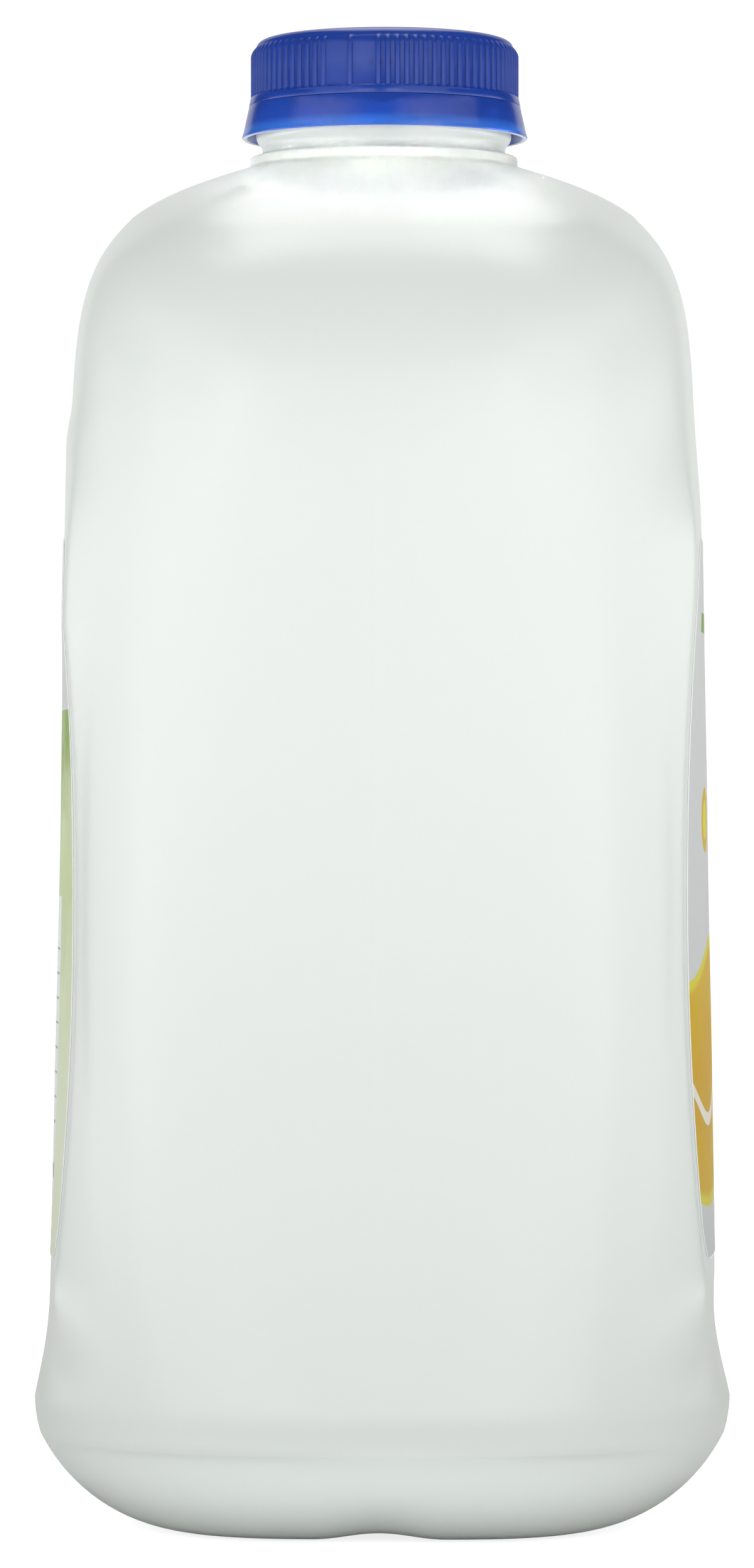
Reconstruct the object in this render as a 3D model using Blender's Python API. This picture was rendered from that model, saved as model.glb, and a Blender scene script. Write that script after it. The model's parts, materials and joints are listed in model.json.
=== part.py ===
"""A half-gallon blow-moulded jug of lemonade, full and shut.

The row is in metres, +Z up, with its origin on the floor under the neck. The front
label faces +X, the back label faces -X, and the two blank sides face -Y and +Y.
The white jug can't be seen into, so it is one solid up to the top of its neck.
"""

import math

import bmesh
import bpy
from mathutils import Vector

# Room between pieces that touch
GAP = 0.0003

# Wall of the jug: a waisted post with rounded corners
BASE_LINE_Z = 0.0152
WIDEST_Z = 0.0210
WIDEST_HALF = 0.0553
BASE_LINE_HALF = 0.0544
WAIST_Z = 0.0980
WAIST_HALF_X = 0.0474
WAIST_HALF_Y = 0.0508
WAIST_CORNER_X = 0.0210
WAIST_CORNER_Y = 0.0140
FLARE_TOP_Z = 0.0812
FLARE_POWER = 1.9
BASE_CORNER = 0.0380
TOP_HALF_X = 0.0489
TOP_HALF_Y = 0.0515
TOP_CORNER = 0.0280
BLANK_SIDE_CROWN = 0.0025
LABEL_SIDE_CROWN = 0.0010

# Foot: an arc down to a flat ring, a shallow push-up and the pinched seam
FOOT_ARC = 0.0275
FOOT_RING_WIDTH = 0.0050
FOOT_STEPS = 7
PUSH_UP = 0.0032
PUSH_UP_STEPS = ((0.35, 0.97), (0.7, 0.62), (1.0, 0.0))  # shares of its reach and height
PINCH_HALF_WIDTH = 0.0105
PINCH_DEPTH = 0.0010
PINCH_TOP_Z = 0.0100

# Label panels: pillows that stand proud of the waist
PANEL_CREST_LOW = 0.0531
PANEL_CREST_LOW_Z = 0.0380
PANEL_CREST_TOP = 0.0507
PANEL_CREST_TOP_Z = 0.1650
PANEL_TOP_Z = 0.1780
PANEL_TOP_ARCH = 0.0080
PANEL_TOP_FADE = 0.0150
PANEL_FOOT_Z = 0.0240
PANEL_FOOT_FADE = 0.0180
PILLOW_MID_Z = 0.0910
PILLOW_HALF_LENGTH = 0.0700
PILLOW_FALL = 0.0040
PILLOW_LEAST_FALL = 0.0006
PILLOW_HALF_WIDTH = 0.0370
PILLOW_EDGE_SLOPE = 0.5
PILLOW_EDGE_BEND = 90.0
PILLOW_LEAST_REACH = 0.0300  # nearer the middle the wall is a blank side
BACK_PANEL_SWELL = 0.0007
SWELL_TOP_Z = 0.1810
SWELL_RISE = 0.0080
SWELL_LOW_Z = 0.1480
SWELL_FADE = 0.0220
SWELL_HALF_WIDTH = 0.0400

# Labels: film laid on the pillows
LABEL_HALF_WIDTH = 0.0345
LABEL_LOW_Z = 0.0435
LABEL_TOP_Z = 0.1560
LABEL_CORNER = 0.0060
LABEL_THICKNESS = 0.00025

# Shoulder: each column runs up a conic from the wall to the neck ledge
SHOULDER_FOOT_LABEL_Z = 0.1840
SHOULDER_FOOT_BLANK_Z = 0.1750
SHOULDER_TOP_Z = 0.2164
SLOPE_LABEL = math.radians(15)
SLOPE_BLANK = math.radians(23)
SHOULDER_LEAN = 0.06  # how far its crest leans in, as a share of its height
FULLNESS_LABEL = 1.6
FULLNESS_BLANK = 1.25

# Neck: ledge, collar, tamper bead and the plain finish hidden in the cap
LEDGE_R = 0.02146
LEDGE_ROUND_R = 0.0210
LEDGE_SIDE_TOP_Z = 0.2174
LEDGE_TOP_Z = 0.2180
COLLAR_R = 0.0195
COLLAR_LOW_Z = 0.2186
BEAD_LOW_Z = 0.2198
BEAD_R = 0.0205
BEAD_Z = 0.2213
BEAD_FLAT = 0.0008
BEAD_TOP_Z = 0.2232
FINISH_R = 0.0193
FINISH_TOP_Z = 0.2348

# Cap: ribbed skirt with a smooth lip, and a torn-off line below it
RIB_COUNT = 88
RIB_R = 0.02150
GROOVE_R = 0.02115
RIB_SHARE = 0.48
RIB_FLANK_SHARE = 0.07
LIP_R = 0.02155
LIP_LOW_Z = 0.2266
RIB_LOW_Z = 0.2277
RIB_TOP_Z = 0.2357
CAP_TOP_Z = 0.2372
RIM_ROUND = 0.0013
RIM_TURNS = (30, 60, 90)
EDGE_STEP = 0.0001
CAP_BORE_R = 0.0199
CAP_BORE_TOP_Z = 0.2352
SINGLE_RIB_ANGLE = math.radians(-103.7)
PAD_GROOVES = 2

# Tamper band: a flared ring under the cap
BAND_TOP_R = 0.02150
BAND_MID_R = 0.02200
BAND_LOW_R = 0.02295
BAND_LOW_Z = 0.2211
BAND_MID_Z = 0.2240
BAND_EDGE = 0.0005
BAND_INNER_TOP_R = 0.0206
BAND_INNER_LOW_R = 0.0214

# Fineness of the faceted solids
COLUMNS_PER_QUARTER = 18
CORNER_CROWDING = 0.6
WALL_STEPS = 17
WALL_CROWDING = 1.5
LEVEL_TOP_Z = 0.1540
DIPPING_STEPS = 5
SHOULDER_STEPS = 10
BAND_COLUMNS = 64
LABEL_COLUMNS = 10
LABEL_ROWS = 14


def mix(a, b, share):
    """The value a given share of the way from a to b."""
    return a + (b - a) * share


def ease(share):
    """0 to 1 with a level start and end."""
    share = min(max(share, 0.0), 1.0)
    return share * share * (3 - 2 * share)


def clear_scene():
    """Empties the scene."""
    for found in list(bpy.data.objects):
        bpy.data.objects.remove(found, do_unlink=True)


def plastic(name, colour, roughness):
    """One plain moulded plastic."""
    material = bpy.data.materials.new(name)
    material.use_nodes = True
    shader = material.node_tree.nodes["Principled BSDF"]
    shader.inputs["Base Color"].default_value = (*colour, 1.0)
    shader.inputs["Roughness"].default_value = roughness
    shader.inputs["Metallic"].default_value = 0.0
    return material


def add_object(name, mesh_builder, material):
    """Turns a bmesh into a smooth-shaded object of the scene."""
    bmesh.ops.recalc_face_normals(mesh_builder, faces=mesh_builder.faces)
    mesh = bpy.data.meshes.new(name)
    mesh_builder.to_mesh(mesh)
    mesh_builder.free()
    mesh.materials.append(material)
    mesh.shade_smooth()
    mesh.set_sharp_from_angle(angle=math.radians(35))
    made = bpy.data.objects.new(name, mesh)
    bpy.context.scene.collection.objects.link(made)
    return made


def join_rows(made, lower, upper):
    """Quads between two rows of vertices that close on themselves."""
    for i in range(len(lower)):
        after = (i + 1) % len(lower)
        made.faces.new((lower[i], lower[after], upper[after], upper[i]))


def fan(made, row, pole):
    """Closes a row of vertices with triangles to a point."""
    tip = made.verts.new(pole)
    for i in range(len(row)):
        made.faces.new((row[i], row[(i + 1) % len(row)], tip))


def skin(made, rings):
    """Adds closed rings of equal length and the quads between them."""
    rows = [[made.verts.new(point) for point in ring] for ring in rings]
    for lower, upper in zip(rows, rows[1:]):
        join_rows(made, lower, upper)
    return rows


def column_directions():
    """Directions of the jug's columns, crowded together at its four corners."""
    found = []
    for quarter in range(4):
        for step in range(COLUMNS_PER_QUARTER):
            share = step / COLUMNS_PER_QUARTER
            crowded = share + CORNER_CROWDING * math.sin(2 * math.pi * share) / (2 * math.pi)
            found.append(math.radians(90) * (quarter + crowded))
    return found


def rounded_rectangle(half_x, half_y, corner_x, corner_y, along, across):
    """Where a ray in the first quarter leaves a rectangle with elliptical corners."""
    if half_x * across <= (half_y - corner_y) * along:
        return half_x, half_x * across / along
    if half_y * along <= (half_x - corner_x) * across:
        return half_y * along / across, half_y
    ray_x, ray_y = along / corner_x, across / corner_y
    centre_x, centre_y = half_x / corner_x - 1, half_y / corner_y - 1
    square = ray_x * ray_x + ray_y * ray_y
    ahead = ray_x * centre_x + ray_y * centre_y
    aside = ray_x * centre_y - ray_y * centre_x
    reach = (ahead + math.sqrt(max(square - aside * aside, 0.0))) / square
    return along * reach, across * reach


def crowned_outline(half_x, half_y, corner_x, corner_y, angle):
    """A rounded rectangle whose four sides swell gently, in any direction."""
    along, across = abs(math.cos(angle)), abs(math.sin(angle))
    x, y = rounded_rectangle(half_x, half_y, corner_x, corner_y, along, across)
    swell_x = 1 - LABEL_SIDE_CROWN / half_x * (y / half_y) ** 2
    swell_y = 1 - BLANK_SIDE_CROWN / half_y * (x / half_x) ** 2
    return Vector((
        math.copysign(x * swell_x, math.cos(angle)),
        math.copysign(y * swell_y, math.sin(angle)),
        0.0,
    ))


def post_sizes(z):
    """Half width, half depth and corner sizes of the post at a height of its wall."""
    if z >= WAIST_Z:
        rise = min((z - WAIST_Z) / (SHOULDER_FOOT_LABEL_Z - WAIST_Z), 1.0)
        half_x = mix(WAIST_HALF_X, TOP_HALF_X, ease(rise))
        half_y = mix(WAIST_HALF_Y, TOP_HALF_Y, ease(rise))
        corner_x = mix(WAIST_CORNER_X, TOP_CORNER, rise * rise)
        corner_y = mix(WAIST_CORNER_Y, TOP_CORNER, rise * rise)
        return half_x, half_y, corner_x, corner_y
    fall = max(FLARE_TOP_Z - z, 0.0) / (FLARE_TOP_Z - WIDEST_Z)
    flare = min(fall, 1.0) ** FLARE_POWER
    half_x = mix(WAIST_HALF_X, WIDEST_HALF, flare)
    half_y = mix(WAIST_HALF_Y, WIDEST_HALF, flare)
    corner_x = mix(WAIST_CORNER_X, BASE_CORNER, flare)
    corner_y = mix(WAIST_CORNER_Y, BASE_CORNER, flare)
    drop = max(WIDEST_Z - z, 0.0) / (WIDEST_Z - BASE_LINE_Z)
    turned_in = (WIDEST_HALF - BASE_LINE_HALF) * drop * drop
    return tuple(size - turned_in for size in (half_x, half_y, corner_x, corner_y))


def back_swell(side, y, z):
    """How far the top of the back panel swells out; the front one doesn't."""
    if side > 0:
        return 0.0
    along = ease((SWELL_TOP_Z - z) / SWELL_RISE) * ease((z - SWELL_LOW_Z) / SWELL_FADE)
    return BACK_PANEL_SWELL * along * max(1 - (y / SWELL_HALF_WIDTH) ** 2, 0.0)


def panel_surface(side, y, z):
    """How far out a label's inner face lies, at a place across its panel and a height."""
    climb = (z - PANEL_CREST_LOW_Z) / (PANEL_CREST_TOP_Z - PANEL_CREST_LOW_Z)
    crest = mix(PANEL_CREST_LOW, PANEL_CREST_TOP, climb)
    off_middle = (z - PILLOW_MID_Z) / PILLOW_HALF_LENGTH
    fall = PILLOW_LEAST_FALL + PILLOW_FALL * max(1 - off_middle * off_middle, 0.0)
    past = max(abs(y) - PILLOW_HALF_WIDTH, 0.0)
    edge = past * PILLOW_EDGE_SLOPE + past * past * PILLOW_EDGE_BEND
    return crest - fall * (y / LABEL_HALF_WIDTH) ** 2 - edge + back_swell(side, y, z)


def wall_point(z, angle):
    """A point of the jug's wall between its base line and its shoulder."""
    point = crowned_outline(*post_sizes(z), angle)
    point.z = z
    side = math.copysign(1.0, point.x)
    panel = panel_surface(side, point.y, z) - GAP
    post = abs(point.x) + back_swell(side, point.y, z)
    top = PANEL_TOP_Z - PANEL_TOP_ARCH * (point.y / PILLOW_HALF_WIDTH) ** 2
    stands = ease((top - z) / PANEL_TOP_FADE) * ease((z - PANEL_FOOT_Z) / PANEL_FOOT_FADE)
    raised = max(panel - post, 0.0) if post > PILLOW_LEAST_REACH else 0.0
    point.x = side * (post + raised * stands)
    return point


def foot_rings(directions):
    """Rings from the middle of the underside out to the base line."""
    first_turn = math.asin(1 - BASE_LINE_Z / FOOT_ARC)
    sizes = post_sizes(BASE_LINE_Z)
    corner_reach = FOOT_ARC * math.cos(first_turn)
    ring_half = sizes[0] - corner_reach
    rings = []
    for share, height in PUSH_UP_STEPS:
        half = (ring_half - FOOT_RING_WIDTH) * share
        outline = [crowned_outline(half, half, half / 2, half / 2, a) for a in directions]
        rings.append([Vector((p.x, p.y, PUSH_UP * height)) for p in outline])
    for step in range(FOOT_STEPS + 1):
        turn = mix(math.radians(90), first_turn, step / FOOT_STEPS)
        inset = corner_reach - FOOT_ARC * math.cos(turn)
        inner_sizes = [size - inset for size in sizes]
        outline = [crowned_outline(*inner_sizes, a) for a in directions]
        height = FOOT_ARC * (1 - math.sin(turn))
        rings.append([Vector((p.x, p.y, height)) for p in outline])
    for ring in rings:
        for point in ring:
            pinch_foot(point)
    return rings


def pinch_foot(point):
    """Lifts the foot into a shallow groove along the seam of the mould."""
    if abs(point.x) >= PINCH_HALF_WIDTH or point.z >= PINCH_TOP_Z:
        return
    across = 0.5 + 0.5 * math.cos(math.pi * point.x / PINCH_HALF_WIDTH)
    point.z += PINCH_DEPTH * across * ease(1 - point.z / PINCH_TOP_Z)


def blank_share(angle):
    """0 in the direction of a label, 1 in the direction of a blank side."""
    return math.sin(angle) ** 2


def shoulder_foot(angle):
    """The height at which the shoulder starts, lower on the blank sides."""
    return mix(SHOULDER_FOOT_LABEL_Z, SHOULDER_FOOT_BLANK_Z, blank_share(angle))


def wall_rings(directions):
    """Rings up the wall, level at first and dipping at the blank sides further up."""
    rings = []
    for step in range(1, WALL_STEPS + 1):
        z = mix(BASE_LINE_Z, LEVEL_TOP_Z, (step / WALL_STEPS) ** WALL_CROWDING)
        rings.append([wall_point(z, a) for a in directions])
    for step in range(1, DIPPING_STEPS + 1):
        share = step / DIPPING_STEPS
        rings.append([wall_point(mix(LEVEL_TOP_Z, shoulder_foot(a), share), a) for a in directions])
    return rings


def shoulder_point(angle, share):
    """A point on the conic that leads from the wall up to the ledge."""
    blank = blank_share(angle)
    start = wall_point(shoulder_foot(angle), angle)
    end = Vector((math.cos(angle) * LEDGE_R, math.sin(angle) * LEDGE_R, SHOULDER_TOP_Z))
    flat = Vector((start.x - end.x, start.y - end.y, 0.0))
    slope = mix(SLOPE_LABEL, SLOPE_BLANK, blank)
    crest = Vector((start.x, start.y, end.z - flat.length * math.tan(slope)))
    crest -= flat.normalized() * (crest.z - start.z) * SHOULDER_LEAN
    fullness = mix(FULLNESS_LABEL, FULLNESS_BLANK, blank)
    weights = ((1 - share) ** 2, 2 * fullness * share * (1 - share), share ** 2)
    total = sum(weights)
    return (start * weights[0] + crest * weights[1] + end * weights[2]) / total


def shoulder_rings(directions):
    """Rings from above the wall's last one up to the foot of the ledge."""
    shares = [step / SHOULDER_STEPS for step in range(1, SHOULDER_STEPS + 1)]
    return [[shoulder_point(a, share) for a in directions] for share in shares]


def turned_ring(radius, z, angles):
    """A level circle of points about the neck's axis."""
    return [Vector((math.cos(a) * radius, math.sin(a) * radius, z)) for a in angles]


def neck_rings(directions):
    """Rings of the ledge, the collar, the tamper bead and the finish."""
    profile = (
        (LEDGE_R, LEDGE_SIDE_TOP_Z),
        (LEDGE_ROUND_R, LEDGE_TOP_Z),
        (COLLAR_R, COLLAR_LOW_Z),
        (COLLAR_R, BEAD_LOW_Z),
        (BEAD_R, BEAD_Z),
        (BEAD_R, BEAD_Z + BEAD_FLAT),
        (FINISH_R, BEAD_TOP_Z),
        (FINISH_R, FINISH_TOP_Z),
    )
    return [turned_ring(radius, z, directions) for radius, z in profile]


def make_jug():
    """The white jug, from its push-up to the top of its neck."""
    directions = column_directions()
    rings = foot_rings(directions) + wall_rings(directions)
    rings += shoulder_rings(directions) + neck_rings(directions)
    made = bmesh.new()
    rows = skin(made, rings)
    low_pole = Vector((0, 0, PUSH_UP))
    pinch_foot(low_pole)
    fan(made, rows[0], low_pole)
    fan(made, rows[-1], Vector((0, 0, FINISH_TOP_Z)))
    return add_object("jug", made, plastic("white_jug", (0.80, 0.83, 0.80), 0.38))


def rib_is_there(index):
    """Whether a rib stands at this place, or a smooth pad takes its room."""
    half_turn = RIB_COUNT // 2
    from_single = (index + half_turn // 2) % half_turn - half_turn // 2
    return from_single == 0 or abs(from_single) > PAD_GROOVES


def rib_row(z):
    """The skirt's outline at one height: four points for each rib or pad."""
    pitch = 2 * math.pi / RIB_COUNT
    half_rib = pitch * RIB_SHARE / 2
    flank = pitch * RIB_FLANK_SHARE
    points = []
    for index in range(RIB_COUNT):
        middle = SINGLE_RIB_ANGLE + index * pitch
        outer = RIB_R if rib_is_there(index) else GROOVE_R
        points += turned_ring(GROOVE_R, z, (middle - half_rib - flank,))
        points += turned_ring(outer, z, (middle - half_rib + flank, middle + half_rib - flank))
        points += turned_ring(GROOVE_R, z, (middle + half_rib + flank,))
    return points


def smooth_row(made, radius, z):
    """A plain ring of the cap, with one vertex in the middle of each groove."""
    pitch = 2 * math.pi / RIB_COUNT
    angles = [SINGLE_RIB_ANGLE + (i - 0.5) * pitch for i in range(RIB_COUNT)]
    return [made.verts.new(point) for point in turned_ring(radius, z, angles)]


def join_ribs(made, plain, ribbed):
    """Triangles between a plain ring and the four points of each rib."""
    for i in range(RIB_COUNT):
        after = (i + 1) % RIB_COUNT
        points = ribbed[4 * i:4 * i + 4]
        following = ribbed[4 * after]
        made.faces.new((plain[i], points[1], points[0]))
        made.faces.new((plain[i], plain[after], points[2], points[1]))
        made.faces.new((plain[after], points[3], points[2]))
        made.faces.new((plain[after], following, points[3]))


def make_cap():
    """The screw cap: a ribbed skirt, a rounded rim and the bore for the neck."""
    made = bmesh.new()
    ribs_low, ribs_top = skin(made, [rib_row(RIB_LOW_Z), rib_row(RIB_TOP_Z)])
    lip_top = smooth_row(made, LIP_R, RIB_LOW_Z - EDGE_STEP)
    lip_low = smooth_row(made, LIP_R, LIP_LOW_Z)
    join_rows(made, lip_low, lip_top)
    join_ribs(made, lip_top, ribs_low)
    rim_r = GROOVE_R - EDGE_STEP
    row = smooth_row(made, rim_r, RIB_TOP_Z + EDGE_STEP)
    join_ribs(made, row, ribs_top)
    for turn in RIM_TURNS:
        angle = math.radians(turn)
        radius = rim_r - RIM_ROUND * (1 - math.cos(angle))
        upper = smooth_row(made, radius, CAP_TOP_Z - RIM_ROUND * (1 - math.sin(angle)))
        join_rows(made, row, upper)
        row = upper
    fan(made, row, Vector((0, 0, CAP_TOP_Z)))
    bore_low = smooth_row(made, CAP_BORE_R, LIP_LOW_Z)
    bore_top = smooth_row(made, CAP_BORE_R, CAP_BORE_TOP_Z)
    join_rows(made, bore_low, lip_low)
    join_rows(made, bore_low, bore_top)
    fan(made, bore_top, Vector((0, 0, CAP_BORE_TOP_Z)))
    return add_object("cap", made, plastic("blue_cap", (0.02, 0.07, 0.42), 0.35))


def make_tamper_band():
    """The flared ring that stays on the neck when the cap is first turned."""
    profile = (
        (BAND_INNER_TOP_R, LIP_LOW_Z - GAP),
        (BAND_TOP_R, LIP_LOW_Z - GAP),
        (BAND_MID_R, BAND_MID_Z),
        (BAND_LOW_R, BAND_LOW_Z + BAND_EDGE),
        (BAND_LOW_R - BAND_EDGE, BAND_LOW_Z),
        (BAND_INNER_LOW_R, BAND_LOW_Z),
    )
    angles = [2 * math.pi * i / BAND_COLUMNS for i in range(BAND_COLUMNS)]
    made = bmesh.new()
    rows = skin(made, [turned_ring(radius, z, angles) for radius, z in profile])
    join_rows(made, rows[-1], rows[0])
    return add_object("tamper_band", made, plastic("blue_band", (0.02, 0.07, 0.42), 0.28))


def label_half_width(z):
    """Half the label's width at a height, less where its corners are rounded."""
    middle = (LABEL_LOW_Z + LABEL_TOP_Z) / 2
    straight = (LABEL_TOP_Z - LABEL_LOW_Z) / 2 - LABEL_CORNER
    past = max(abs(z - middle) - straight, 0.0)
    return LABEL_HALF_WIDTH - LABEL_CORNER + math.sqrt(max(LABEL_CORNER ** 2 - past ** 2, 0.0))


def label_heights():
    """Heights of the label's rows, closer together at its rounded corners."""
    turns = (0, 35, 65, 90)
    low = [LABEL_LOW_Z + LABEL_CORNER * (1 - math.sin(math.radians(t))) for t in reversed(turns)]
    top = [LABEL_TOP_Z - LABEL_CORNER * (1 - math.sin(math.radians(t))) for t in turns]
    inner = [mix(low[-1], top[0], i / LABEL_ROWS) for i in range(1, LABEL_ROWS)]
    return low + inner + top


def make_label(name, side, colour):
    """A thin curved sheet on one pillow; side is 1 for the front and -1 for the back."""
    made = bmesh.new()
    sheets = []
    for offset in (0.0, LABEL_THICKNESS):
        rows = []
        for z in label_heights():
            places = [2 * step / LABEL_COLUMNS - 1 for step in range(LABEL_COLUMNS + 1)]
            across = [label_half_width(z) * place for place in places]
            reach = [side * (panel_surface(side, y, z) + offset) for y in across]
            rows.append([made.verts.new((x, y, z)) for x, y in zip(reach, across)])
        for lower, upper in zip(rows, rows[1:]):
            for a in range(LABEL_COLUMNS):
                made.faces.new((lower[a], lower[a + 1], upper[a + 1], upper[a]))
        edge = rows[0] + [row[-1] for row in rows[1:-1]]
        edge += rows[-1][::-1] + [row[0] for row in rows[-2:0:-1]]
        sheets.append(edge)
    inner, outer = sheets
    for i in range(len(inner)):
        after = (i + 1) % len(inner)
        made.faces.new((inner[i], inner[after], outer[after], outer[i]))
    return add_object(name, made, plastic(name + "_film", colour, 0.4))


def main():
    """Builds the five pieces."""
    clear_scene()
    make_jug()
    make_cap()
    make_tamper_band()
    make_label("front_label", 1, (0.78, 0.78, 0.76))
    make_label("back_label", -1, (0.62, 0.70, 0.48))


main()
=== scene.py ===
# %% [markdown]
# # A full jug of lemonade, shut with a blue screw cap
#
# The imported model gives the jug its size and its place. This lesson dresses it: a fine blow-moulded body,
# two film labels, a ribbed cap and the flared band under it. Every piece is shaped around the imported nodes,
# in metres, with +Z up, the front label at +X and the camera on the -Y side.

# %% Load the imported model
import json
import math

import bmesh
import bpy
import numpy as np
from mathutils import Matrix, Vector, noise

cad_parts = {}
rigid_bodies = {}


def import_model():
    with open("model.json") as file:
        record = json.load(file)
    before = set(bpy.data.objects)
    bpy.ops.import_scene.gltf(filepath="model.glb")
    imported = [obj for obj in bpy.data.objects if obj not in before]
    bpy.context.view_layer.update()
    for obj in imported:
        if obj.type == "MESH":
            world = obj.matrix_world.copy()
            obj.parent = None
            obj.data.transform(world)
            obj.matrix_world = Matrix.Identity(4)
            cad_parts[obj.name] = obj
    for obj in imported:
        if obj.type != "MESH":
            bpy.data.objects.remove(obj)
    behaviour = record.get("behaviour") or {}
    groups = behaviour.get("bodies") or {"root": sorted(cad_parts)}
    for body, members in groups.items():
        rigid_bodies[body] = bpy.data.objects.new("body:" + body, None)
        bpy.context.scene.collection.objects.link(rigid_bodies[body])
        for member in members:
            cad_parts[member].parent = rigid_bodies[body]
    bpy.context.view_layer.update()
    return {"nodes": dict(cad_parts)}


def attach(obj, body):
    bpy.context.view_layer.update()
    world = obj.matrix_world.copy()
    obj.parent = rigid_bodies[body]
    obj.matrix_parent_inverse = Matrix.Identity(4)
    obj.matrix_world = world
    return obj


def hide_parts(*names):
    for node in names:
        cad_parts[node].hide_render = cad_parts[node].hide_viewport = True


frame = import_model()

print("packed nodes:", sorted(frame["nodes"]))

# %% [markdown]
# ## Small helpers
#
# An operator acts on all that is selected, so each step starts with nothing selected. `raise_rings` is how
# the turned and lofted pieces are made: a circle is added and extruded ring by ring, as one would draw a
# pot up on a wheel, and a rule lays each new vertex in its place. Each vertex keeps the number of its
# column through the extrusions, so the rule always knows which stripe of the wall it is on.


# %% Selecting, mixing and easing
def leave_nothing_selected():
    """Goes to object mode with nothing selected."""
    if bpy.context.mode != "OBJECT":
        bpy.ops.object.mode_set(mode="OBJECT")
    bpy.ops.object.select_all(action="DESELECT")


def mix(a, b, share):
    """The value a given share of the way from a to b."""
    return a + (b - a) * share


def ease(share):
    """0 to 1 with a level start and end."""
    share = min(max(share, 0.0), 1.0)
    return share * share * (3 - 2 * share)


# %% Raising a wall from a circle
START_RADIUS = 0.05
RAISE_STEP = 0.001
WELD_DISTANCE = 0.000001


def raise_rings(name, places):
    """A surface of rings: places[ring][column] is where each vertex goes."""
    leave_nothing_selected()
    columns = len(places[0])
    bpy.ops.mesh.primitive_circle_add(vertices=columns, radius=START_RADIUS)
    piece = bpy.context.object
    piece.name = piece.data.name = name
    bpy.ops.object.mode_set(mode="EDIT")
    mesh = bmesh.from_edit_mesh(piece.data)
    number = mesh.verts.layers.int.new("column")
    for index, vertex in enumerate(mesh.verts):
        vertex[number] = index
    for ring, spots in enumerate(places):
        if ring:
            bpy.ops.mesh.extrude_region_move(TRANSFORM_OT_translate={"value": (0.0, 0.0, RAISE_STEP)})
            mesh = bmesh.from_edit_mesh(piece.data)
            number = mesh.verts.layers.int["column"]
        mesh.verts.ensure_lookup_table()
        for vertex in mesh.verts[-columns:]:
            vertex.co = spots[vertex[number]]
    bmesh.update_edit_mesh(piece.data)
    bpy.ops.mesh.select_all(action="SELECT")
    bpy.ops.mesh.remove_doubles(threshold=WELD_DISTANCE)
    bpy.ops.mesh.normals_make_consistent(inside=False)
    bpy.ops.object.mode_set(mode="OBJECT")
    bpy.ops.object.shade_smooth()
    piece.data.attributes.remove(piece.data.attributes["column"])
    print(name, "has", len(piece.data.polygons), "faces")
    return piece


def circle_spots(radius, z, angles, off_axis=0.0):
    """A level circle about the neck's axis, or a little to +X of it."""
    return [(radius * math.cos(a) + off_axis, radius * math.sin(a), z) for a in angles]


def shade_by_angle(piece, angle):
    """Shades a piece smooth, with an edge where it turns by more than an angle."""
    leave_nothing_selected()
    piece.select_set(True)
    bpy.context.view_layer.objects.active = piece
    bpy.ops.object.shade_smooth_by_angle(angle=angle)


# %% [markdown]
# ## The body's section
#
# The real body is one blown skin of white polyethylene. Its section is a square post whose corners start so
# softly that no line shows on the flat sides. A circle's arc would begin with a jump in curvature, which
# glossy plastic gives away, so each corner is a squircle quarter, which begins with none.

# %% Post: named sizes
BASE_LINE_Z = 0.0152
WIDEST_Z = 0.0210
WIDEST_HALF = 0.0553
BASE_LINE_HALF = 0.0544
WAIST_Z = 0.0980
WAIST_HALF_X = 0.0474
WAIST_HALF_Y = 0.0508
WAIST_CORNER_X = 0.0210
WAIST_CORNER_Y = 0.0140
FLARE_TOP_Z = 0.0812
FLARE_POWER = 1.9
BASE_CORNER = 0.0380
TOP_HALF_X = 0.04915
TOP_HALF_Y = 0.0515
TOP_CORNER = 0.0280
BLANK_SIDE_CROWN = 0.0025
LABEL_SIDE_CROWN = 0.0010
SQUIRCLE_POWER = 2.5
SQUIRCLE_REACH = 1.21
SHOULDER_FOOT_LABEL_Z = 0.1840
SHOULDER_FOOT_BLANK_Z = 0.1750


def post_sizes(z):
    """Half width, half depth and corner sizes of the post at a height of its wall."""
    if z >= WAIST_Z:
        rise = min((z - WAIST_Z) / (SHOULDER_FOOT_LABEL_Z - WAIST_Z), 1.0)
        half_x = mix(WAIST_HALF_X, TOP_HALF_X, ease(rise))
        half_y = mix(WAIST_HALF_Y, TOP_HALF_Y, ease(rise))
        corner_x = mix(WAIST_CORNER_X, TOP_CORNER, rise * rise)
        corner_y = mix(WAIST_CORNER_Y, TOP_CORNER, rise * rise)
        return half_x, half_y, corner_x, corner_y
    fall = max(FLARE_TOP_Z - z, 0.0) / (FLARE_TOP_Z - WIDEST_Z)
    flare = min(fall, 1.0) ** FLARE_POWER
    half_x = mix(WAIST_HALF_X, WIDEST_HALF, flare)
    half_y = mix(WAIST_HALF_Y, WIDEST_HALF, flare)
    corner_x = mix(WAIST_CORNER_X, BASE_CORNER, flare)
    corner_y = mix(WAIST_CORNER_Y, BASE_CORNER, flare)
    drop = max(WIDEST_Z - z, 0.0) / (WIDEST_Z - BASE_LINE_Z)
    turned_in = (WIDEST_HALF - BASE_LINE_HALF) * drop * drop
    return tuple(size - turned_in for size in (half_x, half_y, corner_x, corner_y))


# %% Columns: marks along a quarter of the section, repeated with their mirror images
SIDE_COLUMNS = 16
CORNER_COLUMNS = 40
BLANK_COLUMNS = 16
SEAM_CROWDING = 1.7

quarter_marks = [("label side", i / SIDE_COLUMNS) for i in range(SIDE_COLUMNS)]
quarter_marks += [("corner", math.radians(90) * i / CORNER_COLUMNS) for i in range(CORNER_COLUMNS)]
quarter_marks += [
    ("blank side", (1 - i / BLANK_COLUMNS) ** SEAM_CROWDING) for i in range(BLANK_COLUMNS + 1)
]


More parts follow.
